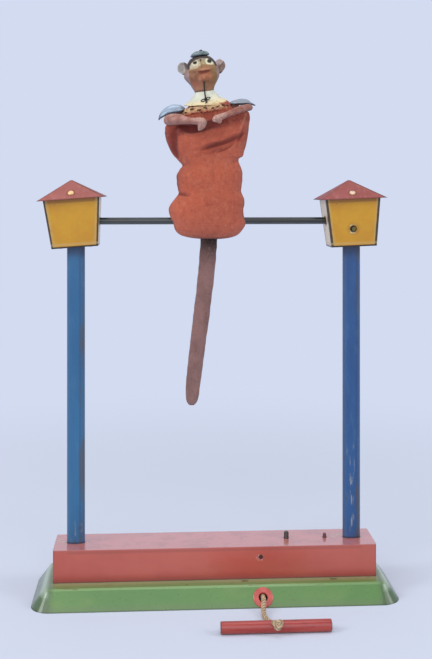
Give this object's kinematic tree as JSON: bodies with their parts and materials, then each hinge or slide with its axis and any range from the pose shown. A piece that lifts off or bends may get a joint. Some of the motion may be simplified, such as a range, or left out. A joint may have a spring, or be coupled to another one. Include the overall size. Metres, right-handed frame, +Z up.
{
  "type": "clockwork acrobat toy",
  "caption": "Tin toy with a cloth-dressed monkey that turns over on a steel bar between lantern posts when the cord in the base is pulled",
  "frame": {"origin": "on the floor under the middle of the green base", "axes": "+X to the right along the base, +Y to the back, +Z up; the cord leaves the base toward -Y"},
  "size_m": [0.225, 0.1042, 0.3402],
  "materials": {
    "green_paint": "gloss",
    "red_paint": "gloss",
    "eyelet_red": "satin",
    "dark_steel": "satin",
    "brass": "satin",
    "blue_paint": "gloss",
    "plain_tin": "satin",
    "ochre_paint": "gloss",
    "roof_red": "gloss",
    "cream_paint": "satin",
    "bar_steel": "polished",
    "bare_wood": "matte",
    "orange_cloth": "matte",
    "cream_card": "matte",
    "head_brown": "satin",
    "ear_grey": "matte",
    "ear_pink": "matte",
    "cap_blue": "matte",
    "arm_mauve": "satin",
    "plate_blue": "satin",
    "black_thread": "matte",
    "tail_felt": "matte",
    "dark_red_stud": "satin",
    "twine": "matte",
    "handle_red": "gloss"
  },
  "bodies": {
    "stand": {"plinth": "green_paint", "housing": "red_paint", "cord_eyelet": "eyelet_red", "spring_anchor": "dark_steel", "movement_plate": "brass", "plate_pillars": "brass", "top_bushes": "brass", "left_post": "blue_paint", "right_post": "blue_paint", "post_sockets": "plain_tin", "left_bracket": "plain_tin", "right_bracket": "plain_tin", "left_bar_bushes": "brass", "right_bar_bushes": "brass", "left_lantern_body": "ochre_paint", "left_lantern_roof": "roof_red", "right_lantern_body": "ochre_paint", "right_lantern_roof": "roof_red", "roof_rivets": "cream_paint", "lantern_rivets": "dark_steel", "lantern_pin": "bar_steel", "shaft_bushes": "brass", "mainspring": "dark_steel"},
    "acrobat": {"crossbar": "bar_steel", "bar_collar": "brass", "crown_wheel": "brass", "body_core": "bare_wood", "body_pin": "bar_steel", "gown": "orange_cloth", "neck_peg": "bare_wood", "collar": "cream_card", "head": "head_brown", "left_ear": "ear_grey", "right_ear": "ear_pink", "cap": "cap_blue", "left_arm": "arm_mauve", "right_arm": "arm_mauve", "left_epaulette": "plate_blue", "right_epaulette": "plate_blue", "arm_rivets": "dark_steel", "chin_tie": "black_thread", "tail": "tail_felt"},
    "shaft": {"drive_shaft": "bar_steel", "shaft_pinion": "brass", "crown_pinion": "brass"},
    "idler": {"idler_arbor": "dark_red_stud", "idler_gear": "brass"},
    "driver": {"drive_gear": "brass"},
    "pawl": {"click": "dark_steel"},
    "drum": {"cord_drum": "plain_tin", "drum_arbor": "bar_steel", "ratchet_wheel": "dark_steel", "arbor_collar": "brass", "cord_winding": "twine"},
    "pull": {"cord_lead": "twine", "pull_cord": "twine", "cord_knot": "twine", "pull_handle": "handle_red"}
  },
  "joints": [
    {"name": "bar_spin", "type": "hinge", "parent": "stand", "child": "acrobat", "pos_m": [0, 0, 0.232], "axis": [1, 0, 0], "continuous": true},
    {"name": "shaft_spin", "type": "hinge", "parent": "stand", "child": "shaft", "pos_m": [0.087, 0, 0.1], "axis": [0, 0, 1], "continuous": true},
    {"name": "idler_spin", "type": "hinge", "parent": "stand", "child": "idler", "pos_m": [0.0698, 0, 0.01], "axis": [0, 0, 1], "continuous": true},
    {"name": "drive_gear_spin", "type": "hinge", "parent": "stand", "child": "driver", "pos_m": [0.0454, 0, 0.0148], "axis": [0, 0, 1], "continuous": true},
    {"name": "click_lift", "type": "hinge", "parent": "driver", "child": "pawl", "pos_m": [0.0454, 0.00935, 0.0128], "axis": [0, 0, 1], "range_deg": [0, 10]},
    {"name": "drum_turn", "type": "hinge", "parent": "stand", "child": "drum", "pos_m": [0.0454, 0, 0.005], "axis": [0, 0, 1], "range_deg": [0, 80], "stiffness_Nm_per_rad": 0.005},
    {"name": "cord_pull", "type": "slide", "parent": "stand", "child": "pull", "axis": [0, -1, 0], "range_m": [0, 0.025]}
  ],
  "couplings": [
    {"joint": "shaft_spin", "follows": "bar_spin", "ratio": -2},
    {"joint": "idler_spin", "follows": "bar_spin", "ratio": 0.77419},
    {"joint": "drive_gear_spin", "follows": "bar_spin", "ratio": -0.8},
    {"joint": "cord_pull", "follows": "drum_turn", "m_per_rad": 0.0177}
  ]
}
